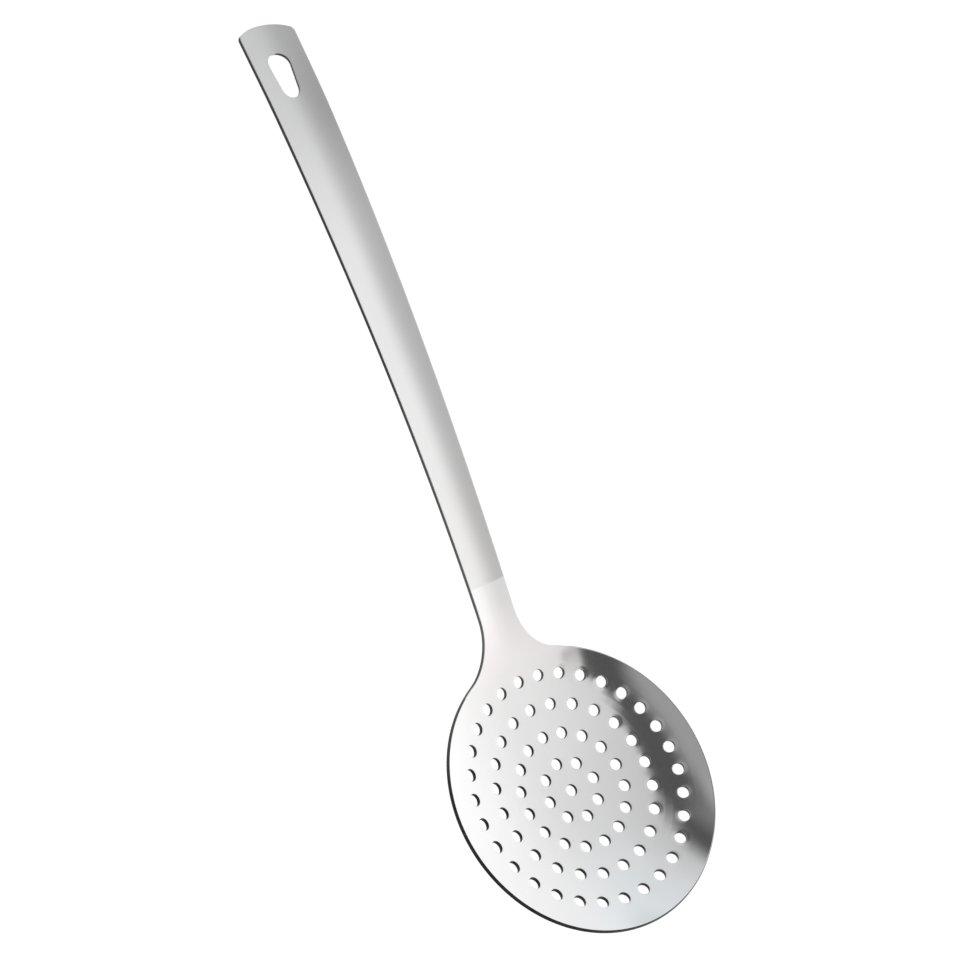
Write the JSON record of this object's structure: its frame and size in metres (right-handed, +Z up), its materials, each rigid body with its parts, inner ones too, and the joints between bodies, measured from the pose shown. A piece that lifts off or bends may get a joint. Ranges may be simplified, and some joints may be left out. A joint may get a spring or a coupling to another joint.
{
  "type": "skimmer",
  "caption": "One-piece pressed steel skimmer: a shallow round bowl with rings of straining holes, a filleted neck and a long arched handle with an egg-shaped hanging hole.",
  "frame": {"origin": "On the table, under the middle of the part's length and width, as it rests on the underside of its bowl and the tip of its handle.", "axes": "+X runs along the part to the handle's tip, +Y across it, and +Z up."},
  "size_m": [0.3272, 0.101, 0.0338],
  "materials": {
    "steel": "Stainless steel. The handle is satin down to a crisp line above the neck, and the neck and bowl are polished."
  },
  "bodies": {
    "root": {"skimmer": "steel"}
  },
  "joints": []
}
